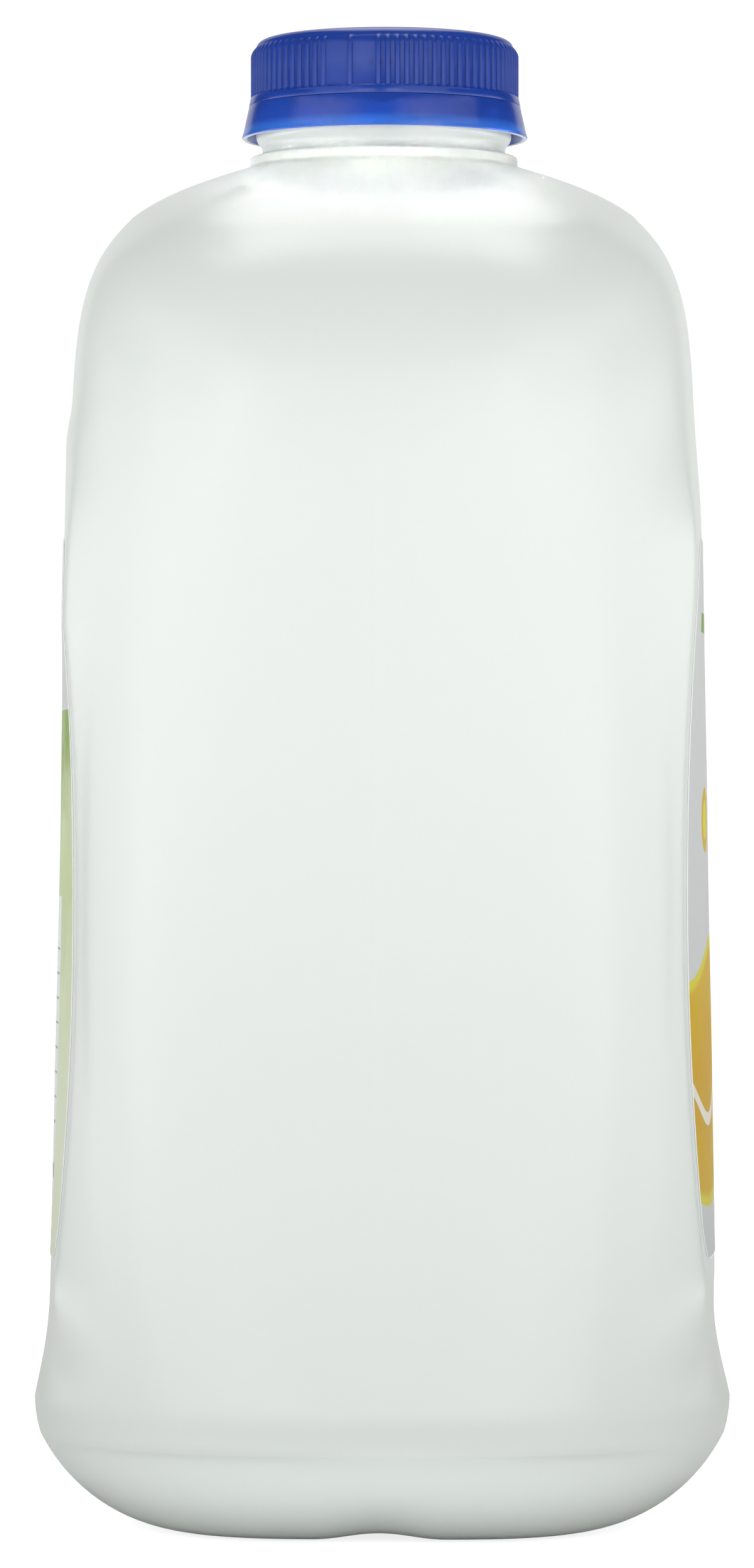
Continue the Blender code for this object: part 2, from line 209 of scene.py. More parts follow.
def quarter_point(sizes, mark):
    """A point of the section's first quarter, before its sides swell."""
    half_x, half_y, corner_x, corner_y = sizes
    corner_x, corner_y = corner_x * SQUIRCLE_REACH, corner_y * SQUIRCLE_REACH
    part, along = mark
    if part == "label side":
        return half_x, (half_y - corner_y) * along
    if part == "blank side":
        return (half_x - corner_x) * along, half_y
    across, up = math.cos(along), math.sin(along)
    reach = (across ** SQUIRCLE_POWER + up ** SQUIRCLE_POWER) ** (1 / SQUIRCLE_POWER)
    return half_x - corner_x + corner_x * across / reach, half_y - corner_y + corner_y * up / reach


def section(sizes):
    """The whole section as (x, y) pairs, one for each column."""
    half_x, half_y = sizes[:2]
    quarter = []
    for mark in quarter_marks:
        x, y = quarter_point(sizes, mark)
        swell_x = 1 - LABEL_SIDE_CROWN / half_x * (y / half_y) ** 2
        swell_y = 1 - BLANK_SIDE_CROWN / half_y * (x / half_x) ** 2
        quarter.append((x * swell_x, y * swell_y))
    there, back = quarter[:-1], quarter[:0:-1]
    turns = ((there, 1, 1), (back, -1, 1), (there, -1, -1), (back, 1, -1))
    return [(x * sign_x, y * sign_y) for run, sign_x, sign_y in turns for x, y in run]


column_count = len(section(post_sizes(WAIST_Z)))
print("columns round the body:", column_count)

# %% [markdown]
# ## The label panels
#
# On the two label sides the wall swells into a pillow that the label lies on. Where the pillow dips below
# the post's corner there is a crease. A plain maximum of the two would give a knife line; the blown skin
# has a small fillet there, so the two are joined by a maximum that is rounded over a millimetre.

# %% Panels: named sizes and the rounded maximum
GAP = 0.0003
PANEL_CREST_LOW = 0.05345
PANEL_CREST_LOW_Z = 0.0380
PANEL_CREST_TOP_FRONT = 0.0511
PANEL_CREST_TOP_BACK = 0.0507
PANEL_CREST_TOP_Z = 0.1650
PANEL_TOP_Z = 0.1780
PANEL_TOP_ARCH = 0.0080
PANEL_TOP_FADE = 0.0150
PANEL_FOOT_Z = 0.0240
PANEL_FOOT_FADE = 0.0180
# Each pillow: its least fall, what its middle adds, the middle's height and half its length
PILLOW_FRONT = (0.0001, 0.0042, 0.0911, 0.0700)
PILLOW_BACK = (0.0017, 0.0029, 0.0880, 0.0560)
PILLOW_HALF_WIDTH = 0.0370
PILLOW_EDGE_SLOPE = 0.5
PILLOW_EDGE_BEND = 90.0
PILLOW_LEAST_REACH = 0.0300
LABEL_HALF_WIDTH = 0.0345
BACK_PANEL_SWELL = 0.0010
SWELL_TOP_Z = 0.1779
SWELL_RISE = 0.0067
SWELL_LOW_Z = 0.1555
SWELL_FADE = 0.0200
SWELL_HALF_WIDTH = 0.0400
CREASE_FILLET = 0.0011


def back_swell(y, z):
    """How far the top of the back panel swells out."""
    along = ease((SWELL_TOP_Z - z) / SWELL_RISE) * ease((z - SWELL_LOW_Z) / SWELL_FADE)
    return BACK_PANEL_SWELL * along * max(1 - (y / SWELL_HALF_WIDTH) ** 2, 0.0)


def panel_reach(side, y, z):
    """How far out the pillow lies, at a place across its panel and a height."""
    climb = (z - PANEL_CREST_LOW_Z) / (PANEL_CREST_TOP_Z - PANEL_CREST_LOW_Z)
    crest = mix(PANEL_CREST_LOW, PANEL_CREST_TOP_FRONT if side > 0 else PANEL_CREST_TOP_BACK, climb)
    least, added, middle_z, half_length = PILLOW_FRONT if side > 0 else PILLOW_BACK
    fall = least + added * max(1 - ((z - middle_z) / half_length) ** 2, 0.0)
    past = max(abs(y) - PILLOW_HALF_WIDTH, 0.0)
    edge = past * PILLOW_EDGE_SLOPE + past * past * PILLOW_EDGE_BEND
    return crest - fall * (y / LABEL_HALF_WIDTH) ** 2 - edge - GAP


def rounded_maximum(a, b, fillet):
    """The larger of two reaches, with a fillet where they cross."""
    near = max(fillet - abs(a - b), 0.0) / fillet
    return max(a, b) + near * near * fillet / 4


def wall_spot(x, y, z):
    """Lays a point of the plain section on the wall, pillows included."""
    side = math.copysign(1.0, x)
    post = abs(x)
    top = PANEL_TOP_Z - PANEL_TOP_ARCH * (y / PILLOW_HALF_WIDTH) ** 2
    stands = ease((top - z) / PANEL_TOP_FADE) * ease((z - PANEL_FOOT_Z) / PANEL_FOOT_FADE)
    if post < PILLOW_LEAST_REACH:
        return side * post, y, z
    raised = rounded_maximum(panel_reach(side, y, z), post, CREASE_FILLET)
    return side * mix(post, raised, stands), y, z


# %% [markdown]
# ## Foot, wall, shoulder and neck
#
# The rings run from the middle of the underside out over the standing ring, up the foot's arc to the line
# where the mould's base insert meets its halves, up the wall, over the shoulder on a cone section's curve,
# and up the turned neck. The wall's rings are level low down and dip to the blank sides further up, where
# the shoulder starts lower.

# %% Foot and wall
FOOT_ARC = 0.0275
FOOT_RING_WIDTH = 0.0050
PUSH_UP = 0.0032
PUSH_UP_RINGS = 9
FOOT_RINGS = 20
PINCH_HALF_WIDTH = 0.0105
PINCH_DEPTH = 0.0010
PINCH_TOP_Z = 0.0100
LEVEL_TOP_Z = 0.1540
WALL_RINGS = 76
DIPPING_RINGS = 18
BASE_LINE_STEP = 0.00012


def pinched(x, y, z):
    """Lifts the foot into a shallow groove along the seam of the mould."""
    if abs(x) < PINCH_HALF_WIDTH and z < PINCH_TOP_Z:
        across = 0.5 + 0.5 * math.cos(math.pi * x / PINCH_HALF_WIDTH)
        z += PINCH_DEPTH * across * ease(1 - z / PINCH_TOP_Z)
    return x, y, z


def foot_rings():
    """From the middle of the push-up to just under the base line."""
    sizes = [size - BASE_LINE_STEP for size in post_sizes(BASE_LINE_Z)]
    first_turn = math.asin(1 - BASE_LINE_Z / FOOT_ARC)
    corner_reach = FOOT_ARC * math.cos(first_turn)
    inner_half = sizes[0] - corner_reach - FOOT_RING_WIDTH
    rings = []
    for step in range(PUSH_UP_RINGS + 1):
        share = step / PUSH_UP_RINGS
        half = inner_half * share
        flat = section((half, half, half / 2, half / 2)) if step else [(0.0, 0.0)] * column_count
        rings.append([pinched(x, y, PUSH_UP * (1 - share ** 3)) for x, y in flat])
    for step in range(FOOT_RINGS + 1):
        turn = mix(math.radians(90), first_turn, step / FOOT_RINGS)
        inset = corner_reach - FOOT_ARC * math.cos(turn)
        z = FOOT_ARC * (1 - math.sin(turn))
        rings.append([pinched(x, y, z) for x, y in section([size - inset for size in sizes])])
    return rings


def blank_share(angle):
    """0 in the direction of a label, 1 in the direction of a blank side."""
    return math.sin(angle) ** 2


top_angles = [math.atan2(y, x) for x, y in section(post_sizes(SHOULDER_FOOT_LABEL_Z))]
shoulder_foot = [
    mix(SHOULDER_FOOT_LABEL_Z, SHOULDER_FOOT_BLANK_Z, blank_share(angle)) for angle in top_angles
]


section_cache = {}


def section_at(z):
    """The plain section at a height, worked out once."""
    key = round(z, 7)
    if key not in section_cache:
        section_cache[key] = section(post_sizes(key))
    return section_cache[key]


def wall_ring(heights):
    """One ring of the wall, each column at its own height."""
    spots = []
    for column, z in enumerate(heights):
        x, y = section_at(z)[column]
        spots.append(wall_spot(x, y, z))
    return spots


def wall_rings():
    """From the base line up to the foot of the shoulder."""
    start = BASE_LINE_Z + BASE_LINE_STEP
    rings = []
    for step in range(WALL_RINGS + 1):
        z = mix(start, LEVEL_TOP_Z, step / WALL_RINGS)
        rings.append(wall_ring([z] * column_count))
    for step in range(1, DIPPING_RINGS + 1):
        share = step / DIPPING_RINGS
        rings.append(wall_ring([mix(LEVEL_TOP_Z, foot, share) for foot in shoulder_foot]))
    return rings


# %% Shoulder
SHOULDER_TOP_Z = 0.2164
SLOPE_LABEL = math.radians(15)
SLOPE_BLANK = math.radians(23)
SHOULDER_LEAN = 0.06
FULLNESS_LABEL = 1.6
FULLNESS_BLANK = 1.25
SHOULDER_RINGS = 44
LEDGE_R = 0.02146


def shoulder_spot(column, share):
    """A point on the curve that leads a column from the wall up to the ledge."""
    angle, foot = top_angles[column], shoulder_foot[column]
    blank = blank_share(angle)
    start = Vector(wall_spot(*section_at(foot)[column], foot))
    end = Vector((math.cos(angle) * LEDGE_R, math.sin(angle) * LEDGE_R, SHOULDER_TOP_Z))
    flat = Vector((start.x - end.x, start.y - end.y, 0.0))
    slope = mix(SLOPE_LABEL, SLOPE_BLANK, blank)
    crest = Vector((start.x, start.y, end.z - flat.length * math.tan(slope)))
    crest -= flat.normalized() * (crest.z - start.z) * SHOULDER_LEAN
    fullness = mix(FULLNESS_LABEL, FULLNESS_BLANK, blank)
    weights = ((1 - share) ** 2, 2 * fullness * share * (1 - share), share ** 2)
    return (start * weights[0] + crest * weights[1] + end * weights[2]) / sum(weights)


def shoulder_rings():
    """From above the wall's last ring up to the foot of the ledge."""
    shares = [step / SHOULDER_RINGS for step in range(1, SHOULDER_RINGS + 1)]
    return [[tuple(shoulder_spot(column, share)) for column in range(column_count)] for share in shares]


# %% Neck
LEDGE_SIDE_TOP_Z = 0.21780
LEDGE_TOP_Z = 0.21812
COLLAR_R = 0.0195
COLLAR_LOW_Z = 0.2185
BEAD_LOW_Z = 0.2198
BEAD_R = 0.0205
BEAD_Z = 0.2213
BEAD_TOP_Z = 0.2232
FINISH_R = 0.0193
FINISH_TOP_Z = 0.2348
BEAD_STEPS = 7
BEAD_FIRST_TURN = -70
BEAD_SWEEP = 160
BEAD_LEAST_SHARE = 0.15
BEAD_FLAT = 0.0004

neck_profile = [
    (LEDGE_R, SHOULDER_TOP_Z + 0.0004),
    (LEDGE_R, LEDGE_SIDE_TOP_Z),
    (LEDGE_R - 0.00006, LEDGE_SIDE_TOP_Z + 0.00015),
    (LEDGE_R - 0.00020, LEDGE_TOP_Z - 0.00005),
    (LEDGE_R - 0.0005, LEDGE_TOP_Z),
    (COLLAR_R + 0.0005, COLLAR_LOW_Z - 0.0001),
    (COLLAR_R + 0.0001, COLLAR_LOW_Z + 0.0001),
    (COLLAR_R, COLLAR_LOW_Z + 0.0004),
    (COLLAR_R, BEAD_LOW_Z - 0.0002),
]
for bead_step in range(BEAD_STEPS + 1):
    bead_turn = math.radians(BEAD_FIRST_TURN + BEAD_SWEEP * bead_step / BEAD_STEPS)
    bead_share = mix(BEAD_LEAST_SHARE, 1.0, max(math.cos(bead_turn), 0.0))
    neck_profile.append((
        mix(COLLAR_R, BEAD_R, bead_share),
        BEAD_Z + BEAD_FLAT + (BEAD_TOP_Z - BEAD_Z - BEAD_FLAT) * math.sin(bead_turn),
    ))
neck_profile += [(FINISH_R, BEAD_TOP_Z + 0.0002), (FINISH_R, FINISH_TOP_Z), (0.0, FINISH_TOP_Z)]
neck_rings = [circle_spots(radius, z, top_angles) for radius, z in neck_profile]
print("neck profile points:", len(neck_profile))

# %% [markdown]
# ## One body, with its small faults
#
# The wall and the shoulder are joined with a slight angle, which the blown skin doesn't have, so the rings
# near the join are averaged with their neighbours up and down a few times. After that come the forms that
# are too crisp for that: the top of the back panel swells out in a short step, and the shoulders lean a
# hair toward the front. Last come the marks of making: the raised line of the mould's seam up the middle of
# both blank sides, faint waves in the skin, and the shallow dents that handling has left on the near
# shoulder.

# %% Join the rings and soften the shoulder's foot
SOFTENING_ROUNDS = 40
SOFTENING_SHARE = 0.25
SOFTENED_BELOW = 6  # level rings under the dipping ones
SOFTENED_ABOVE = 26  # rings up the shoulder

foot, wall, shoulder = foot_rings(), wall_rings(), shoulder_rings()
spots = np.array(foot + wall + shoulder + neck_rings, dtype=float)
softened_from = len(foot) + len(wall) - DIPPING_RINGS - SOFTENED_BELOW
softened_to = len(foot) + len(wall) + SOFTENED_ABOVE
for _ in range(SOFTENING_ROUNDS):
    middle = spots[softened_from:softened_to]
    below = spots[softened_from - 1:softened_to - 1]
    above = spots[softened_from + 1:softened_to + 1]
    spots[softened_from:softened_to] = middle + (below + above - 2 * middle) * SOFTENING_SHARE
print("rings:", len(spots))

# %% Seam, waves and dents
SEAM_RISE = 0.00003
SEAM_HALF_WIDTH = 0.0009
SEAM_LOW_Z = 0.050
SEAM_TOP_Z = 0.180
SEAM_FADE = 0.020
SEAM_LEAST_SHARE = 0.3
LEAN = 0.00025
LEAN_LOW_Z = 0.1580
LEAN_FADE = 0.0250
WAVE_HEIGHT = 0.00010
WAVE_LENGTH = 0.030
WAVE_SINK = 0.6  # share of a wave's height by which the skin is set in
dents = (  # two ends as (x, z), half width and depth
    ((0.0400, 0.2050), (0.0325, 0.1955), 0.0016, 0.00012),
    ((0.0130, 0.1995), (0.0160, 0.1915), 0.0018, 0.00010),
    ((-0.0260, 0.2010), (-0.0225, 0.1985), 0.0012, 0.00007),
)


def dent_depth(x, y, z):
    """How deep the near shoulder is dented at a point."""
    depth = 0.0
    if y < 0:
        for (x0, z0), (x1, z1), half_width, deep in dents:
            run_x, run_z = x1 - x0, z1 - z0
            length = math.hypot(run_x, run_z)
            along = ((x - x0) * run_x + (z - z0) * run_z) / length ** 2
            aside = abs((x - x0) * run_z - (z - z0) * run_x) / length
            fade = ease(1 - abs(along - 0.5))
            depth += deep * fade * math.exp(-(aside / half_width) ** 2)
    return depth


first_wall_ring = len(foot)
last_marked_ring = len(foot) + len(wall) + len(shoulder) - 1
for ring in range(first_wall_ring, last_marked_ring):
    for column in range(column_count):
        x, y, z = spots[ring, column]
        outward = Vector((x, y, 0.0)).normalized()
        lean = LEAN * ease((z - LEAN_LOW_Z) / LEAN_FADE)
        spots[ring, column, 0] += lean * ease((SHOULDER_TOP_Z - z) / LEAN_FADE)
        if x < -PILLOW_LEAST_REACH:
            spots[ring, column, 0] -= back_swell(y, z)
        rise = WAVE_HEIGHT * noise.noise(Vector((x, y, z)) / WAVE_LENGTH) - dent_depth(x, y, z)
        if abs(x) < SEAM_HALF_WIDTH:
            ends = ease((z - SEAM_LOW_Z) / SEAM_FADE) * ease((SEAM_TOP_Z - z) / SEAM_FADE)
            ridge = 0.5 + 0.5 * math.cos(math.pi * x / SEAM_HALF_WIDTH)
            rise += SEAM_RISE * ridge * mix(SEAM_LEAST_SHARE, 1.0, ends)
        rise -= WAVE_HEIGHT * WAVE_SINK
        spots[ring, column, :2] += np.array(outward[:2]) * rise

jug_body = raise_rings("jug_body", spots.tolist())


# %% [markdown]
# ## Shader maths
#
# Written as nodes, a formula is hard to read. This small class wraps one output socket, so that a formula
# on it is written as plain Python and adds its Math nodes as it goes. Any other node comes from `add`,
# which takes the node's type, its settings and what goes into its sockets.

# %% A socket that can be calculated with
class Flow:
    """An output socket of a material's nodes, with arithmetic."""

    def __init__(self, tree, socket):
        self.tree = tree
        self.socket = socket

    def add(self, kind, settings=None, output=0, **inputs):
        """Adds a node and returns one of its outputs."""
        node = self.tree.nodes.new(kind)
        for key, value in (settings or {}).items():
            setattr(node, key, value)
        for key, value in inputs.items():
            name = key.replace("_", " ")
            socket = node.inputs[int(key[1:])] if key[1:].isdigit() else node.inputs[name]
            if isinstance(value, Flow):
                self.tree.links.new(value.socket, socket)
            else:
                socket.default_value = value
        return Flow(self.tree, node.outputs[output])

    def math(self, operation, *values):
        """Adds a Math node on numbers or other flows."""
        numbered = {f"i{index}": value for index, value in enumerate(values)}
        return self.add("ShaderNodeMath", {"operation": operation}, **numbered)

    def __add__(self, other):
        return self.math("ADD", self, other)

    def __sub__(self, other):
        return self.math("SUBTRACT", self, other)

    def __mul__(self, other):
        return self.math("MULTIPLY", self, other)

    def __truediv__(self, other):
        return self.math("DIVIDE", self, other)

    def __abs__(self):
        return self.math("ABSOLUTE", self)

    def step(self, low, high):
        """0 below low, 1 above high, eased between; low may be the larger."""
        return self.add(
            "ShaderNodeMapRange",
            {"interpolation_type": "SMOOTHSTEP"},
            Value=self, From_Min=low, From_Max=high, To_Min=0.0, To_Max=1.0,
        )

    def root(self):
        return self.math("SQRT", self)

    def sine(self):
        return self.math("SINE", self)

    def fraction(self):
        return self.math("FRACT", self)

    def least(self, other):
        return self.math("MINIMUM", self, other)

    def most(self, other):
        return self.math("MAXIMUM", self, other)


def hypotenuse(a, b):
    """The length of a step whose two sides are flows."""
    return (a * a + b * b).root()


# %% Starting a finish
def start_finish(name, **constants):
    """A new material with its shader's constants set, its shader and its Object coordinates."""
    made = bpy.data.materials.new(name)
    made.use_nodes = True
    tree = made.node_tree
    shader = tree.nodes["Principled BSDF"]
    for key, value in constants.items():
        shader.inputs[key.replace("_", " ")].default_value = value
    place = Flow(tree, tree.nodes.new("ShaderNodeTexCoord").outputs["Object"])
    return made, shader, place


def feed(shader, socket, flow):
    """Links a flow to one of the shader's sockets."""
    flow.tree.links.new(flow.socket, shader.inputs[socket])


def blend_colours(place, share, first, second):
    """Mixes two colours, each a flow or three numbers, by a share."""
    colours = [c if isinstance(c, Flow) else (*c, 1.0) for c in (first, second)]
    return place.add(
        "ShaderNodeMix", {"data_type": "RGBA"}, 2, i0=share, i6=colours[0], i7=colours[1],
    )


def split(place):
    """The x, y and z of a position."""
    node = place.tree.nodes.new("ShaderNodeSeparateXYZ")
    place.tree.links.new(place.socket, node.inputs[0])
    return tuple(Flow(place.tree, output) for output in node.outputs)


def grain(place, scale, detail=2.0, roughness=0.5):
    """Noise over the piece, as a value about 0.5."""
    return place.add(
        "ShaderNodeTexNoise", None, 0, Vector=place, Scale=scale, Detail=detail, Roughness=roughness,
    )


def relief(place, height, distance, strength=1.0, under=None):
    """A Bump node on a height, over another bump if one is given."""
    extra = {"Normal": under} if under else {}
    return place.add("ShaderNodeBump", None, 0, Height=height, Distance=distance, Strength=strength, **extra)


# %% [markdown]
# ## White polyethylene
#
# Blown polyethylene is a faintly green-grey white with a soft, broad sheen. Its skin has a fine orange
# peel, the sheen varies a little from the mould, and a few dark specks show up close.

# %% Finish of the body
WHITE = (0.710, 0.750, 0.718)
WHITE_SHADE = (0.690, 0.728, 0.692)
SPECK = (0.32, 0.31, 0.28)

body_finish, body_shader, body_place = start_finish(
    "white_polyethylene", Roughness=0.28, IOR=1.5, Specular_IOR_Level=0.75,
)
cloud = grain(body_place, 14.0, 1.0).step(0.25, 0.75)
body_colour = blend_colours(body_place, cloud * 0.25, WHITE, WHITE_SHADE)
cells = body_place.add(
    "ShaderNodeTexVoronoi", {"feature": "F1"}, "Distance", Vector=body_place, Scale=42.0, Randomness=1.0,
)
chosen = grain(body_place, 19.0, 0.0).step(0.66, 0.70)
speck = cells.step(0.018, 0.010) * chosen
body_colour = blend_colours(body_place, speck * 0.5, body_colour, SPECK)
feed(body_shader, "Base Color", body_colour)
rubbed = grain(body_place, 22.0, 1.0)
feed(body_shader, "Roughness", rubbed * 0.04 + 0.277)
peel = grain(body_place, 900.0, 2.0)
ripple = grain(body_place, 70.0, 0.0)
body_relief = relief(body_place, peel, 0.00002, 0.15)
body_relief = relief(body_place, ripple, 0.00005, 0.15, body_relief)
feed(body_shader, "Normal", body_relief)
jug_body.data.materials.clear()
jug_body.data.materials.append(body_finish)
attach(jug_body, "root")
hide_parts("jug")

# %% [markdown]
# ## The labels
#
# Each label is a printed film that was laid in the mould, so it follows the panel everywhere. A flat grid
# is cut to the label's outline and pressed onto the body with a Shrinkwrap modifier, along X, which leaves
# its outline as cut when seen from the side. A Solidify modifier then gives it the film's thickness, whose
# white cut edge shows as a thin bright line.

# %% Cut a film and press it on
LABEL_LOW_Z = 0.0435
LABEL_TOP_Z = 0.1560
LABEL_CORNER = 0.0060
FILM_LIFT = 0.00003
FILM_THICKNESS = 0.00012
FILM_COLUMNS = 70
FILM_ROWS = 112
FILM_START_X = 0.065  # clear of the body, before the film is pressed on
FILM_SHARP_ANGLE = math.radians(40)
LABEL_MIDDLE_Z = (LABEL_LOW_Z + LABEL_TOP_Z) / 2
LABEL_HALF_HEIGHT = (LABEL_TOP_Z - LABEL_LOW_Z) / 2


def film_half_width(z):
    """Half the film's width at a height, less where its corners are rounded."""
    past = max(abs(z - LABEL_MIDDLE_Z) - (LABEL_HALF_HEIGHT - LABEL_CORNER), 0.0)
    return LABEL_HALF_WIDTH - LABEL_CORNER + math.sqrt(max(LABEL_CORNER ** 2 - past ** 2, 0.0))


def press_film(name, side):
    """A film on one panel; side is 1 for the front and -1 for the back."""
    leave_nothing_selected()
    bpy.ops.mesh.primitive_grid_add(x_subdivisions=FILM_COLUMNS, y_subdivisions=FILM_ROWS, size=2.0)
    film = bpy.context.object
    film.name = film.data.name = name
    for vertex in film.data.vertices:
        across, up = vertex.co.x, vertex.co.y
        z = LABEL_MIDDLE_Z + up * LABEL_HALF_HEIGHT
        vertex.co = (side * FILM_START_X, side * across * film_half_width(z), z)
    press = film.modifiers.new("press", "SHRINKWRAP")
    press.target = jug_body
    press.wrap_method = "PROJECT"
    press.use_project_x = True
    press.use_negative_direction = side > 0
    press.use_positive_direction = side < 0
    press.offset = FILM_LIFT
    bpy.ops.object.modifier_apply(modifier=press.name)
    thick = film.modifiers.new("film", "SOLIDIFY")
    thick.thickness = FILM_THICKNESS
    thick.offset = 1.0
    bpy.ops.object.modifier_apply(modifier=thick.name)
    bpy.ops.object.shade_smooth_by_angle(angle=FILM_SHARP_ANGLE)
    reach = [abs(vertex.co.x) for vertex in film.data.vertices]
    print(name, "lies from", round(min(reach), 5), "to", round(max(reach), 5), "m off the middle")
    return film


front_film = press_film("front_film", 1)
back_film = press_film("back_film", -1)

# %% [markdown]
# ## The print
#
# The front print is a light grey ground with a golden wave low down, a few plain dots above it and a green
# bar at the top. The back print is a green field that fades to cream, and on it a white panel with thin
# grey rules. Both are drawn with distances on Object coordinates, so their edges stay sharp at any size,
# and a narrow unprinted margin runs round each film. The film is matt: a real one is textured where it
# touched the mould, and mirrors very little.

# %% Print of the front label
FILM_WHITE = (0.78, 0.80, 0.79)
MARGIN_WHITE = (0.90, 0.92, 0.91)
GROUND = (0.575, 0.590, 0.585)
GOLD = (0.60, 0.39, 0.008)
GOLD_DEEP = (0.58, 0.34, 0.006)
LIME_RIM = (0.64, 0.60, 0.04)
LEAF = (0.20, 0.33, 0.07)
MARGIN_WIDTH = 0.0004
EDGE_SOFTNESS = 0.00012
# Wavy lines: level, height, length and start
WAVE_TOP = (0.0905, 0.0036, 0.060, 2.2)
WAVE_LOW = (0.0545, 0.0030, 0.075, 0.4)
RIBBON_WAVE = (0.0690, 0.0040, 0.048, 1.0)
RIBBON_HALF_WIDTH = 0.0011
# Dots: their place across and up, and their radius
dots = ((-0.016, 0.112, 0.0052), (0.002, 0.120, 0.0072), (0.017, 0.110, 0.0043), (0.009, 0.1035, 0.0024))
DOT_CORE_SHARE = 0.62
BAR_Z = 0.1430
BAR_HALF_HEIGHT = 0.0016
BAR_HALF_WIDTH = 0.0240


def start_print(name):
    """A film's material, with its place across and up, and the margin's mask."""
    made, shader, place = start_finish(name, Roughness=0.42, IOR=1.5, Specular_IOR_Level=0.05)
    _, across, up = split(place)
    inside_y = LABEL_HALF_WIDTH - LABEL_CORNER
    inside_z = LABEL_HALF_HEIGHT - LABEL_CORNER
    past_y = (abs(across) - inside_y).most(0.0)
    past_z = (abs(up - LABEL_MIDDLE_Z) - inside_z).most(0.0)
    margin_start = LABEL_CORNER - MARGIN_WIDTH
    margin = hypotenuse(past_y, past_z).step(margin_start, margin_start + EDGE_SOFTNESS)
    return made, shader, place, across, up, margin


def wave_line(across, level, height, length, start):
    """The height of a wavy line at each place across the film."""
    turn = across * (2 * math.pi / length) + start
    return turn.sine() * height + level


def dot(across, up, centre_y, centre_z, radius):
    """1 inside a round dot."""
    return hypotenuse(across - centre_y, up - centre_z).step(radius, radius - EDGE_SOFTNESS)


def stripe(value, middle, half_width, softness=EDGE_SOFTNESS):
    """1 within half a width of a middle."""
    return abs(value - middle).step(half_width, half_width - softness)


def between(value, low, high, softness=EDGE_SOFTNESS):
    """1 between two limits."""
    return value.step(low, low + softness) * value.step(high, high - softness)


def finish_print(shader, place, colour, margin):
    """Feeds a print and its margin to the shader, with the film's fine texture."""
    feed(shader, "Base Color", blend_colours(place, margin, colour, MARGIN_WHITE))
    feed(shader, "Roughness", grain(place, 70.0, 3.0) * 0.10 + 0.37)
    feed(shader, "Normal", relief(place, grain(place, 700.0), 0.00002, 0.2))


front_finish, front_shader, front_place, across, up, margin = start_print("front_print")
wave_top = wave_line(across, *WAVE_TOP)
wave_low = wave_line(across, *WAVE_LOW)
in_wave = (up - wave_top).step(0.0, -EDGE_SOFTNESS) * (up - wave_low).step(0.0, EDGE_SOFTNESS)
from_edge = (wave_top - up).least(up - wave_low)
rim = from_edge.step(0.0026, 0.0010)
depth = from_edge.step(0.004, 0.016)
streaks = grain(front_place, 140.0, 3.0).step(0.35, 0.7)
gold = blend_colours(front_place, depth * 0.7 + streaks * 0.25, GOLD, GOLD_DEEP)
gold = blend_colours(front_place, rim * 0.85, gold, LIME_RIM)
front_colour = blend_colours(front_place, in_wave, GROUND, gold)
ribbon = stripe(up, wave_line(across, *RIBBON_WAVE), RIBBON_HALF_WIDTH) * in_wave
front_colour = blend_colours(front_place, ribbon * 0.8, front_colour, FILM_WHITE)
for centre_y, centre_z, radius in dots:
    for dot_radius, dot_colour in ((radius, GOLD), (radius * DOT_CORE_SHARE, LIME_RIM)):
        in_dot = dot(across, up, centre_y, centre_z, dot_radius)
        front_colour = blend_colours(front_place, in_dot, front_colour, dot_colour)
bar = stripe(up, BAR_Z, BAR_HALF_HEIGHT) * stripe(across, 0.0, BAR_HALF_WIDTH)
front_colour = blend_colours(front_place, bar, front_colour, LEAF)
finish_print(front_shader, front_place, front_colour, margin)

# %% Print of the back label
GREEN = (0.21, 0.325, 0.060)
PALE_GREEN = (0.53, 0.61, 0.34)
CREAM = (0.70, 0.75, 0.58)
RULE_GREY = (0.24, 0.25, 0.24)
GREEN_TOP_Z = 0.1292
PALE_FROM_Z = 0.1060
CREAM_FROM_Z = 0.1050
CREAM_FULL_Z = 0.0560
WHITE_PANEL_Y = (-0.0205, 0.0290)
WHITE_PANEL_Z = (0.0475, 0.1000)
RULE_PITCH = 0.0039
RULES_Y = (-0.0195, 0.0280)
RULES_Z = (0.0630, 0.0950)
BLOCK_Y = (-0.0205, 0.0060)
BLOCK_Z = 0.0567
BLOCK_HALF_HEIGHT = 0.0012

back_finish, back_shader, back_place, across, up, margin = start_print("back_print")
faded = blend_colours(back_place, up.step(GREEN_TOP_Z, PALE_FROM_Z), GREEN, PALE_GREEN)
mottle = grain(back_place, 95.0, 4.0, 0.6).step(0.35, 0.72)
faded = blend_colours(back_place, mottle * 0.45, faded, CREAM)
faded = blend_colours(back_place, up.step(CREAM_FROM_Z, CREAM_FULL_Z), faded, CREAM)
in_field = up.step(GREEN_TOP_Z + EDGE_SOFTNESS, GREEN_TOP_Z)
back_colour = blend_colours(back_place, in_field, GROUND, faded)
in_panel = between(across, *WHITE_PANEL_Y) * between(up, *WHITE_PANEL_Z)
back_colour = blend_colours(back_place, in_panel, back_colour, FILM_WHITE)
off_rule = abs((up / RULE_PITCH).fraction() - 0.5)
rule = off_rule.step(0.060, 0.030) * between(up, *RULES_Z, 0.0010) * between(across, *RULES_Y, 0.0002)
back_colour = blend_colours(back_place, rule * 0.8, back_colour, RULE_GREY)
block = stripe(up, BLOCK_Z, BLOCK_HALF_HEIGHT, 0.0001) * between(across, *BLOCK_Y, 0.0001)
back_colour = blend_colours(back_place, block * 0.6, back_colour, RULE_GREY)
finish_print(back_shader, back_place, back_colour, margin)

